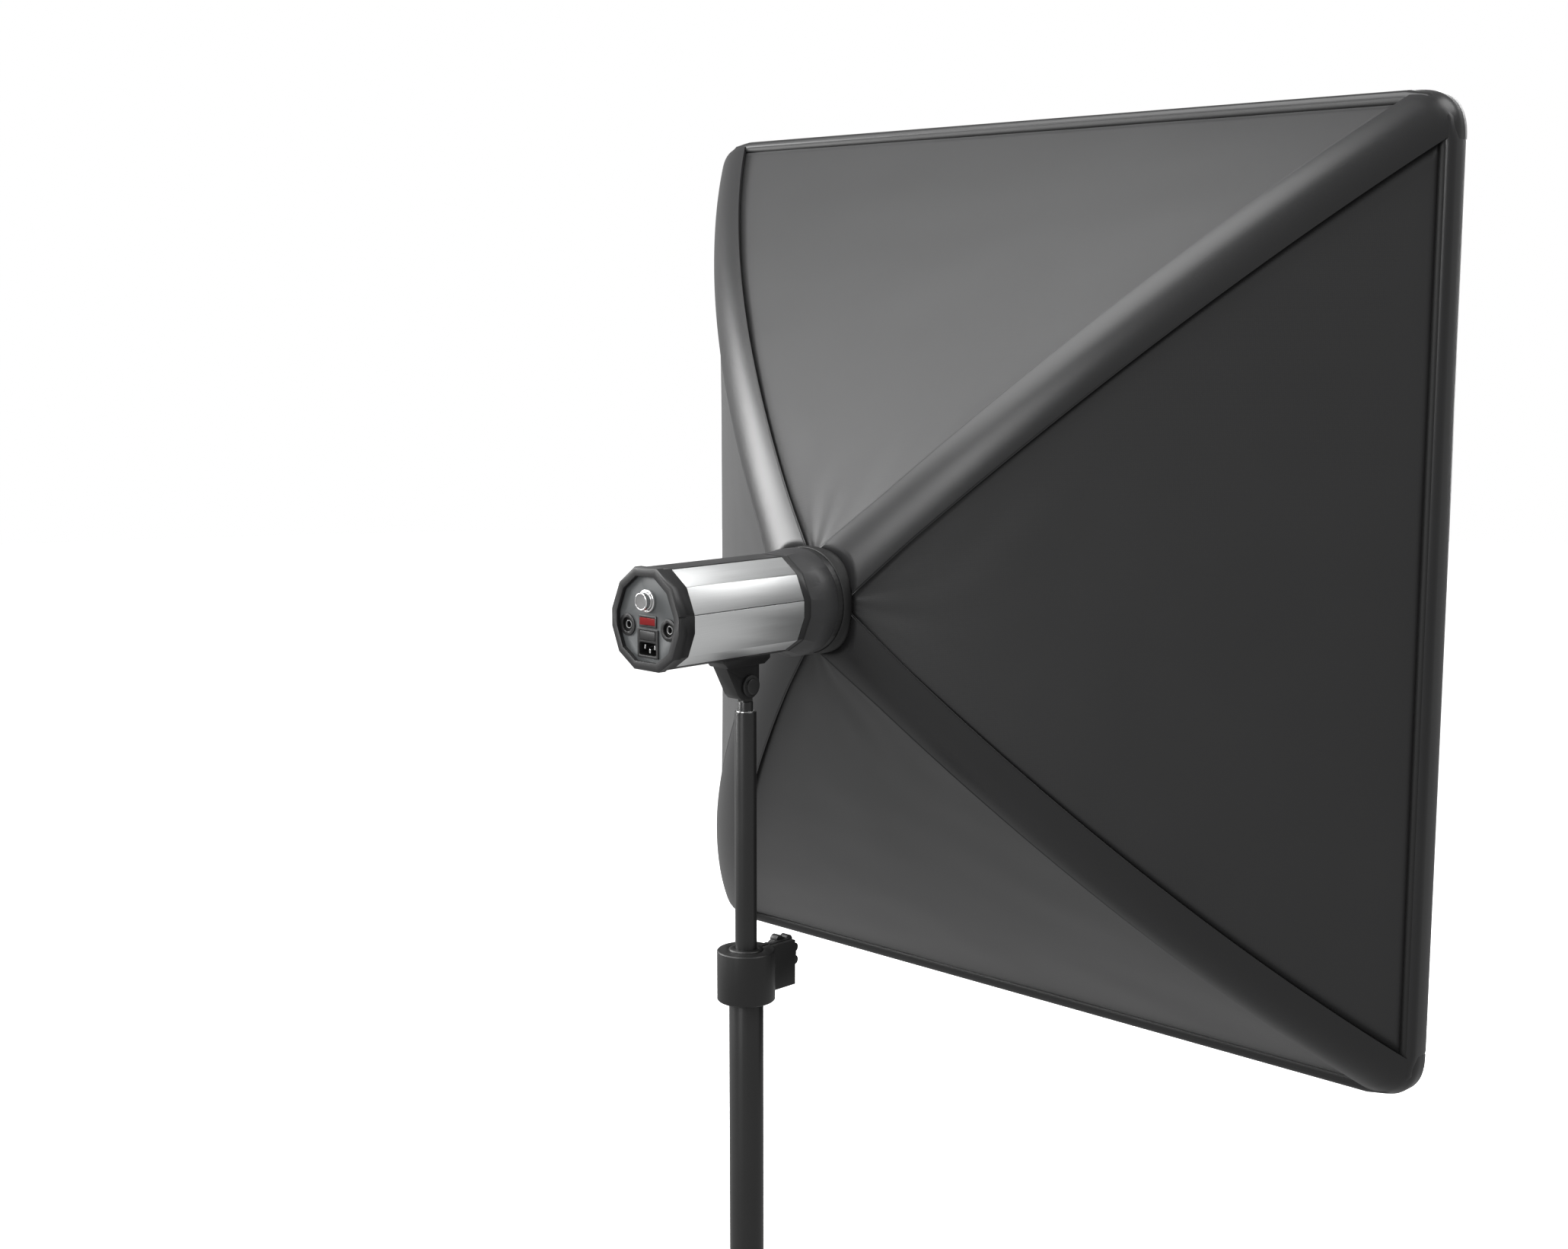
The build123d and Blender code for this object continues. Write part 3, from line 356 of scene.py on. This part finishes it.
# Each node's material and the width of its rounded edges in millimetres.
FINISHES = {
    "base_tube": (powder_coat, 0.3), "top_tube": (powder_coat, 0.2), "tube_slider": (black_plastic, 0),
    "clamp_bush": (black_plastic, 0.3), "clamp_collar": (black_plastic, 0.6),
    "clamp_knob": (black_plastic, 0.6), "strut_collar": (black_plastic, 0.6),
    "strut_pins": (plain_steel, 0.2), "leg_collar": (black_plastic, 0.6),
    "leg_lock_knob": (black_plastic, 0.6), "tube_socket": (plain_steel, 0.2),
    "swivel_stud": (powder_coat, 0.3), "tilt_bracket": (charcoal_plastic, 0.5),
    "tilt_bolt": (charcoal_plastic, 0.3), "tilt_nut": (plain_steel, 0.2),
    "rear_bezel": (charcoal_plastic, 0.4), "rear_panel": (panel_grey, 0.2),
    "panel_upper_left": (brushed_aluminium, 0.2), "panel_upper_right": (brushed_aluminium, 0.2),
    "panel_lower_left": (brushed_aluminium, 0.2), "panel_lower_right": (brushed_aluminium, 0.2),
    "top_spine": (charcoal_plastic, 0.3), "bottom_rail": (charcoal_plastic, 0.3),
    "front_collar": (collar_plastic, 0.3), "sync_sockets": (black_plastic, 0.2),
    "power_inlet": (black_plastic, 0.2), "inlet_pins": (bright_metal, 0.2),
    "fuse_drawer": (black_plastic, 0.3), "rocker_frame": (black_plastic, 0.2),
    "power_rocker": (rocker_red, 0.2),
    "control_board": (board_green, 0), "chassis_plate": (plain_steel, 0),
    "capacitors": (capacitor_sleeve, 0), "fan_frame": (black_plastic, 0),
    "fan_impeller": (black_plastic, 0), "lamp_base": (white_ceramic, 0.3),
    "flash_tube": (lamp_glass, 0), "modelling_lamp": (lamp_glass, 0),
    "speedring": (black_plastic, 0.3), "rods": (plain_steel, 0),
}
for number in (1, 2, 3):
    FINISHES[f"leg_{number}"] = (powder_coat, 0.2)
    FINISHES[f"strut_{number}"] = (powder_coat, 0.3)
    FINISHES[f"foot_{number}"] = (foot_rubber, 0.5)
    FINISHES[f"knee_pin_{number}"] = (plain_steel, 0.2)
for name, (material, edge) in FINISHES.items():
    finish_node(name, material, edge * MM)
print("finished", len(FINISHES), "CAD pieces")

# %% [markdown]
# Each fabric panel bows out between two sprung rods, along an arc of a large circle. The arc
# goes through three points of the design: the cloth's end at the hub, its middle and the rim.
# bow(t) walks along it from the hub, at 0, to the rim, at 1, and gives the distance along the
# head's axis, the distance out from it and the outward normal.

# %% The fabric's bow
HUB, WAIST, RIM = (0.097, 0.049), (0.244, 0.287), (0.451, 0.497)
STRIP = 0.039


def circle_through(a, b, c):
    """Centre and radius of the circle through three points of a plane."""
    first = Vector(b) - Vector(a)
    second = Vector(c) - Vector(a)
    twice = 2 * first.cross(second)
    lift = (first.length_squared * Vector((second.y, -second.x))
            - second.length_squared * Vector((first.y, -first.x))) / twice
    return Vector(a) + lift, lift.length


bow_centre, bow_radius = circle_through(HUB, WAIST, RIM)


def bow_angle(along):
    return math.acos((along - bow_centre.x) / bow_radius)


START, END = bow_angle(-CLOTH_REAR), bow_angle(-CLOTH_FRONT)
BOW_LENGTH = abs(START - END) * bow_radius


def bow(t):
    angle = START + (END - START) * t
    normal = Vector((math.cos(angle), math.sin(angle)))
    point = bow_centre + normal * bow_radius
    return point.x, point.y, normal


print("bow radius", round(bow_radius, 3), "length", round(BOW_LENGTH, 3))


def around(x, along, z, quarter):
    """A point given on the top side, turned a number of quarters about the head's axis."""
    for _ in range(quarter):
        x, z = z, -x
    return Vector((x, -along, HEAD_Z + z))


# %% [markdown]
# A real panel is one flat cut. Here it is a grid of squares whose points are laid on the bow,
# and each corner keeps its place on the flat cut as its UV, so the weave follows the cloth.
# Solidify then gives the sheet its thickness, with the lining on the inner side.

# %% Cloth from a grid
FOLD_FROM = math.radians(40)


def added(name, mesh, *materials):
    """Turns a bmesh into a smooth piece of the scene."""
    data = bpy.data.meshes.new(name)
    mesh.to_mesh(data)
    mesh.free()
    data.shade_smooth()
    for material in materials:
        data.materials.append(material)
    piece = bpy.data.objects.new(name, data)
    scene.collection.objects.link(piece)
    return piece


def cloth(name, columns, rows, place, material, thickness, lining=None, fold=0.0):
    """A grid laid in space by place(u, t), which gives a point and its place on the flat cut."""
    mesh = bmesh.new()
    bmesh.ops.create_grid(mesh, x_segments=columns, y_segments=rows, size=0.5)
    uv = mesh.loops.layers.uv.new("UVMap")
    laid = {vertex: place(vertex.co.x + 0.5, vertex.co.y + 0.5) for vertex in mesh.verts}
    for vertex, (point, _) in laid.items():
        vertex.co = point
    for face in mesh.faces:
        for corner in face.loops:
            corner[uv].uv = laid[corner.vert][1]
    bmesh.ops.recalc_face_normals(mesh, faces=mesh.faces)
    middle = sum((face.calc_center_median() for face in mesh.faces), Vector()) / len(mesh.faces)
    facing = sum((face.normal for face in mesh.faces), Vector())
    outwards = Vector((middle.x, 0.5, middle.z - HEAD_Z))
    if facing.dot(outwards) < 0:
        bmesh.ops.reverse_faces(mesh, faces=mesh.faces)
    piece = added(name, mesh, material, lining or material)
    if fold:
        folded = piece.modifiers.new("folded", "BEVEL")
        folded.width, folded.segments = fold, 2
        folded.limit_method, folded.angle_limit = "ANGLE", FOLD_FROM
    wall = piece.modifiers.new("thickness", "SOLIDIFY")
    wall.thickness, wall.offset, wall.material_offset = thickness, -1, 1
    return piece


# %% [markdown]
# A panel is pulled tight between the sleeves: it lies a few millimetres below them, and sags a
# little towards the inside in its middle, where nothing holds it.

# %% Four panels
PANEL_SINK, PANEL_SAG, PANEL_TUCK, PANEL_RIPPLE = 3.2 * MM, 4 * MM, 1 * MM, 0.6 * MM
NYLON_THICK = 1.2 * MM


def panel_place(quarter):
    def place(u, t):
        along, away, normal = bow(t)
        half = away - STRIP + PANEL_TUCK
        across = 2 * u - 1
        sag = PANEL_SINK + PANEL_SAG * (1 - across ** 2) * math.sin(math.pi * t)
        depth = noise.noise(Vector((across * 3, t * 9, quarter))) * PANEL_RIPPLE - sag
        where = around(across * half, along + normal.x * depth, away + normal.y * depth, quarter)
        return where, (across * half, t * BOW_LENGTH)
    return place


def panel_width(t):
    return 2 * (bow(t)[1] - STRIP + PANEL_TUCK)


# The cut's area comes from its widths at the ends and the middle, by Simpson's rule.
PANEL_WIDTH = panel_width(1)
PANEL_AREA = BOW_LENGTH * (panel_width(0) + 4 * panel_width(0.5) + PANEL_WIDTH) / 6
for quarter, side in enumerate(("top", "left", "bottom", "right")):
    panel = cloth(f"nylon_{side}", 48, 60, panel_place(quarter), black_nylon, NYLON_THICK, silver_lining)
    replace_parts(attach(panel, "softbox"), f"fabric_{side}")
print("panel flat size", round(PANEL_WIDTH, 3), round(BOW_LENGTH, 3), "area", round(PANEL_AREA, 3))

# %% [markdown]
# Over each rod runs a wide boxed sleeve of doubled nylon, which rounds the box's corner. Its
# section is a quarter of a squarish oval, a superellipse, with a short wall at each side that
# goes down to the panel. It flares a little at the hub, and at the front it runs on over the
# corner of the rim.

# %% Four rod sleeves
SLEEVE_R, SLEEVE_POWER, SLEEVE_WALL = 42.5 * MM, 2.6, 6.5 * MM
SLEEVE_COLUMNS, SLEEVE_ROWS, RIM_ROWS = 26, 66, 6
FLARE, FLARE_SHARE = 3.5 * MM, 1 / 9
RIM_STEP, RIM_RISE, RIM_OUT = 4.6 * MM, 12 * MM, RIM_HALF + 0.6 * MM
SLEEVE_FLAT, SLEEVE_ARC, SLEEVE_SPARE = 85 * MM, 68 * MM, 30 * MM
SLEEVE_THICK, SLEEVE_FOLD = 1.6 * MM, 0.8 * MM


def sleeve_point(s, t, quarter, drop=0.0):
    """A point of a sleeve: s runs across it, t along it, drop is down its side wall."""
    along, away, _ = bow(min(t, 1))
    corner = away - STRIP
    reach = SLEEVE_R + FLARE * max(0, 1 - t / FLARE_SHARE)
    if t > 1:
        past = (t - 1) * BOW_LENGTH
        along += past
        reach += (RIM_OUT - away - SLEEVE_R + STRIP) * min(1, past / RIM_RISE)
    angle = s * math.pi / 2
    x = corner + reach * math.sin(angle) ** (2 / SLEEVE_POWER)
    z = corner + reach * math.cos(angle) ** (2 / SLEEVE_POWER)
    if drop:
        x, z = (x, z - drop) if s < 0.5 else (x - drop, z)
    return around(x, along, z, quarter)


def sleeve_place(quarter):
    def place(u, t):
        column, row = round(u * SLEEVE_COLUMNS), round(t * SLEEVE_ROWS)
        drop = SLEEVE_WALL if column in (0, SLEEVE_COLUMNS) else 0.0
        inner = min(max((column - 1) / (SLEEVE_COLUMNS - 2), 0), 1)
        s = 0.5 - 0.5 * math.cos(math.pi * inner)
        bowed = SLEEVE_ROWS - RIM_ROWS
        step = row / bowed if row <= bowed else 1 + (row - bowed) * RIM_STEP / BOW_LENGTH
        across = s * SLEEVE_ARC + (drop if s > 0.5 else -drop)
        return sleeve_point(s, step, quarter, drop), (across, step * BOW_LENGTH)
    return place


for quarter in range(4):
    sleeve = cloth(f"rod_sleeve_{quarter + 1}", SLEEVE_COLUMNS, SLEEVE_ROWS, sleeve_place(quarter),
                   strip_nylon, SLEEVE_THICK, fold=SLEEVE_FOLD)
    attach(sleeve, "softbox")
    BOW_LENGTH + SLEEVE_SPARE
    if quarter == 0:
        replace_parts(sleeve, "rib_sleeves")
print("sleeve flat size", SLEEVE_FLAT, round(BOW_LENGTH + SLEEVE_SPARE, 3))

# %% [markdown]
# The seam between a sleeve and a panel is finished with a thin piping. A curve with a round
# bevel follows the seam and is turned into a mesh.

# %% Piping along the seams
def tube(name, points, radius, material):
    """A round tube along points, as a mesh."""
    curve = bpy.data.curves.new(name + "_line", "CURVE")
    curve.dimensions = "3D"
    curve.bevel_depth, curve.bevel_resolution = radius, 3
    curve.use_fill_caps = True
    line = curve.splines.new("POLY")
    line.points.add(len(points) - 1)
    for spot, point in zip(line.points, points):
        spot.co = (*point, 1)
    shape = bpy.data.objects.new(name + "_line", curve)
    scene.collection.objects.link(shape)
    bpy.context.view_layer.update()
    data = bpy.data.meshes.new_from_object(shape)
    bpy.data.objects.remove(shape)
    data.name = name
    data.materials.clear()
    data.materials.append(material)
    data.shade_smooth()
    piece = bpy.data.objects.new(name, data)
    scene.collection.objects.link(piece)
    return piece


PIPING_R, PIPING_STEPS, PIPING_DROP = 1.3 * MM, 60, SLEEVE_WALL - 1 * MM
for quarter in range(4):
    for end, word in ((0.0, "a"), (1.0, "b")):
        seam = [sleeve_point(end, step / PIPING_STEPS, quarter, PIPING_DROP)
                for step in range(PIPING_STEPS + 1)]
        piping = tube(f"piping_{quarter + 1}{word}", seam, PIPING_R, piping_black_and_shade)
        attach(piping, "softbox")
print("piping", round(2 * PIPING_R / MM, 1), "mm across, along eight seams")

# %% [markdown]
# The rim's hem, the binding inside it, the cuff at the hub and the turned knob are all closed
# loops. Each one starts as a circle of points. The circle is extruded once for each step of its
# section, and every new loop is moved to its place. The binding and the cuff are near black, and
# that black is partly painted shade of the groove behind the hem and of the hub.

# %% Loops
def looped(name, loops, material, sides=96, thickness=0.0, closed=False, capped=False,
           body="softbox"):
    """A piece made of closed loops, each given as a function from an angle to a point."""
    mesh = bmesh.new()
    bmesh.ops.create_circle(mesh, segments=sides, radius=1)
    ring = sorted(mesh.verts, key=lambda v: math.atan2(v.co.x, v.co.y))
    angles = [math.atan2(v.co.x, v.co.y) for v in ring]
    first, edges = ring, list(mesh.edges)
    for vertex, angle in zip(ring, angles):
        vertex.co = loops[0](angle)
    for loop in loops[1:]:
        before = {vertex: spot for spot, vertex in enumerate(ring)}
        grown = bmesh.ops.extrude_edge_only(mesh, edges=edges)["geom"]
        edges = [item for item in grown if isinstance(item, bmesh.types.BMEdge)]
        after = [None] * sides
        for item in grown:
            if isinstance(item, bmesh.types.BMVert):
                for edge in item.link_edges:
                    other = edge.other_vert(item)
                    if other in before:
                        after[before[other]] = item
        ring = after
        for vertex, angle in zip(ring, angles):
            vertex.co = loop(angle)
    if closed:
        bmesh.ops.bridge_loops(mesh, edges=edges + [edge for edge in mesh.edges
                               if edge.verts[0] in first and edge.verts[1] in first])
    if capped:
        bmesh.ops.edgeloop_fill(mesh, edges=edges)
    uv = mesh.loops.layers.uv.new("UVMap")
    for face in mesh.faces:
        for corner in face.loops:
            spot = corner.vert.co
            corner[uv].uv = (spot.x + spot.y, spot.z - HEAD_Z + spot.y)
    bmesh.ops.recalc_face_normals(mesh, faces=mesh.faces)
    piece = added(name, mesh, material)
    if thickness:
        wall = piece.modifiers.new("thickness", "SOLIDIFY")
        wall.thickness, wall.offset = thickness, 0
    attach(piece, body)
    return piece


# %% [markdown]
# The hem is the tunnel of nylon that the front edge is sewn into. Its section goes round the
# rim and inwards, where the diffuser is fixed. A narrow near-black binding covers the seam at
# its back, and its black is partly painted shade of the groove between the hem and the cloth.
# The flat size is the section's length by the length round a rounded square.

# %% Hem and binding
def square(half, corner, along):
    """A rounded square about the head's axis."""
    def place(angle):
        x, z = math.sin(angle), math.cos(angle)
        scale = half / max(abs(x), abs(z))
        x, z = x * scale, z * scale
        flat = half - corner
        if abs(x) > flat and abs(z) > flat:
            away = Vector((abs(x) - flat, abs(z) - flat)).normalized() * corner
            x = math.copysign(flat + away.x, x)
            z = math.copysign(flat + away.y, z)
        return Vector((x, -along, HEAD_Z + z))
    return place


HEM_REAR, HEM_FRONT = -rim_high.y, -rim_low.y
HEM_CORNER, CORNER_SHRINK, HEM_THICK = 46 * MM, 0.9, 1.2 * MM
BINDING_CORNER = MEAN_CORNER = 40 * MM
# Sections in millimetres: out from the head's axis, and forward from the hem's rear edge.
HEM_SECTION = [
    (486, 0.8), (493.5, 0.8), (497.2, 1.8), (499.3, 4.5), (500, 9), (500.3, 17), (500, 25),
    (499, 29.5), (496.5, 32.5), (493, 34), (484, 34), (477.5, 33), (474.5, 30.5), (474, 26),
]
BINDING_SECTION = [(490, -1.2), (493.2, -0.4), (494, 1.2), (486, 1.6), (486.2, -0.8)]

hem_steps = [Vector(step) * MM for step in HEM_SECTION]
hem_loops = [square(step.x, HEM_CORNER - (RIM_HALF - step.x) * CORNER_SHRINK, HEM_REAR + step.y)
             for step in hem_steps]
hem = looped("hem", hem_loops, strip_nylon, sides=240, thickness=HEM_THICK)
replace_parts(hem, "rim_hem")
# The binding is near black. This is partly a real binding and partly painted shade of the groove behind
# the hem.
binding_and_shade_loops = [square(out * MM, BINDING_CORNER, HEM_REAR + forward * MM)
                 for out, forward in BINDING_SECTION]
binding = looped("rim_binding_and_shade", binding_and_shade_loops, piping_black_and_shade, sides=240, closed=True)

# %% [markdown]
# At the hub a stretchy cuff closes the cloth round the speed ring. It starts round, like the ring,
# and becomes a squarish oval, a superellipse of rising power, where the four panels meet. It is
# near black, darker than the cloth, and that black is partly painted shade at the hub.

# %% Hub cuff
def oval(half, power, along):
    """A superellipse about the head's axis."""
    def place(angle):
        x, z = math.sin(angle), math.cos(angle)
        reach = half / (abs(x) ** power + abs(z) ** power) ** (1 / power)
        return Vector((x * reach, -along, HEAD_Z + z * reach))
    return place


# Each step's half width in millimetres, its power and its place along the head in millimetres.
CUFF = [(53.9, 2.0, 85.0), (54.6, 2.0, 86.8), (54.6, 2.1, 90.0), (54.8, 2.3, 93.5),
        (53.5, 2.9, 96.5), (50.0, 3.4, 98.5)]
CUFF_WIDTH, CUFF_R, CUFF_THICK = 16.5 * MM, 54.5 * MM, 0.8 * MM
CUFF_LENGTH = 2 * math.pi * CUFF_R
# The cuff is near black. This is partly a real cuff and partly painted shade at the hub.
cuff = looped("hub_cuff_and_shade", [oval(half * MM, power, along * MM) for half, power, along in CUFF],
              piping_black_and_shade, thickness=CUFF_THICK)
print("cuff flat size", CUFF_WIDTH, round(CUFF_LENGTH, 3), "cloth starts", round(bow(0)[1], 4))

# %% [markdown]
# The diffuser is a square of white cloth with rounded corners, fixed inside the rim. So it
# lies a little behind the rim's front edge, and its middle is slack by a few millimetres.

# %% Front diffuser
DIFFUSER_HALF, DIFFUSER_CORNER, DIFFUSER_ALONG = 473.5 * MM, 22 * MM, HEM_FRONT - 10 * MM
DIFFUSER_SLACK, DIFFUSER_RIPPLE, DIFFUSER_THICK = 4 * MM, 1.5 * MM, 0.8 * MM


def diffuser_place(u, t):
    across, up = 2 * u - 1, 2 * t - 1
    x, z = across * DIFFUSER_HALF, up * DIFFUSER_HALF
    flat = DIFFUSER_HALF - DIFFUSER_CORNER
    if abs(x) > flat and abs(z) > flat:
        away = Vector((abs(x) - flat, abs(z) - flat))
        away *= DIFFUSER_CORNER / max(away.length, DIFFUSER_CORNER)
        x, z = math.copysign(flat + away.x, x), math.copysign(flat + away.y, z)
    slack = (1 - across ** 2) * (1 - up ** 2)
    ripple = noise.noise(Vector((u * 7, t * 7, 3))) * DIFFUSER_RIPPLE * slack ** 0.3
    along = DIFFUSER_ALONG + slack * DIFFUSER_SLACK + ripple
    return Vector((x, -along, HEAD_Z + z)), (x, z)


diffuser = cloth("diffuser_cloth", 96, 96, diffuser_place, white_cloth, DIFFUSER_THICK)
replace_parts(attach(diffuser, "softbox"), "front_diffuser")
print("diffuser flat size", round(2 * DIFFUSER_HALF, 3), "square")

# %% [markdown]
# The power knob is a chromed cap on a thin chromed skirt, and its satin face is a little
# dished. The sync sockets each have a steel bush in their mouth. All are turned on a lathe, so
# each is a section of radii and depths, turned about a line along the head.

# %% Knob and socket bushes
knob_low, knob_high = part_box("power_knob")
KNOB_Z, KNOB_FACE = (knob_low.z + knob_high.z) / 2, knob_high.y
satin_metal = brushed("satin_metal", (0.20,) * 3, (0.25,) * 3, 0.46, (500, 500, 500), 0.00001)
SKIRT = [(11, 9.4), (11, 7.6), (10.8, 7.1), (10.2, 6.8), (9.4, 6.9), (9.0, 7.4)]
CAP = [(8.5, 9), (8.6, 3), (8.6, 1.1), (8.45, 0.55), (8.1, 0.15), (7.6, 0), (7.3, 0.15), (7.2, 0.35)]
DISH = [(7.25, 0.36), (5, 0.42), (2.5, 0.45), (0.6, 0.46)]
BUSH = [(4.1, 2.8), (4.1, 2.3), (3.9, 2.0), (3.55, 1.9), (3.35, 2.1), (3.3, 4)]


def disc(x, z, radius, y):
    def place(angle):
        return Vector((x + math.sin(angle) * radius, y, z + math.cos(angle) * radius))
    return place


def turned(name, x, z, face, section, material, body, capped=False):
    """A turned piece about a line along the head, from (radius, depth below the face) in mm."""
    steps = [disc(x, z, radius * MM, face - below * MM) for radius, below in section]
    return looped(name, steps, material, sides=72, capped=capped, body=body)


def knob_piece(name, section, material, capped=False):
    return turned(name, 0, KNOB_Z, KNOB_FACE, section, material, "power_knob", capped)


skirt = knob_piece("knob_skirt", SKIRT, bright_metal)
knob_piece("knob_cap", CAP, bright_metal)
knob_piece("knob_face", DISH, satin_metal, capped=True)
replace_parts(skirt, "power_knob")

socket_low, socket_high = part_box("sync_sockets")
SOCKET_X, SOCKET_Z = 29 * MM, (socket_low.z + socket_high.z) / 2
for side, x in (("left", SOCKET_X), ("right", -SOCKET_X)):
    turned(f"socket_bush_{side}", x, SOCKET_Z, socket_high.y, BUSH, plain_steel, "head")
print("knob at height", round(KNOB_Z, 3), "sockets at", round(SOCKET_Z, 3))

# %% [markdown]
# The floor is only a stage: a wide disc of white paper under the feet. It glows a little, so
# that it meets the white room without a line, and it neither lights the object nor shows in
# its reflections.

# %% Floor
FLOOR_R, FLOOR_GLOW = 14, 0.85
floor_finish = Finish("floor_paper", Roughness=0.9)
floor_finish.colours(floor_finish.noise(floor_finish.place(), 3), (0.90,) * 3, (0.92,) * 3)
floor_finish.shader.inputs["Emission Color"].default_value = (1, 1, 1, 1)
floor_finish.shader.inputs["Emission Strength"].default_value = FLOOR_GLOW
floor_mesh = bmesh.new()
bmesh.ops.create_circle(floor_mesh, cap_ends=True, segments=96, radius=FLOOR_R)
floor = added("floor", floor_mesh, floor_finish.material)
floor.visible_diffuse = floor.visible_glossy = False
print("floor", 2 * FLOOR_R, "m across")
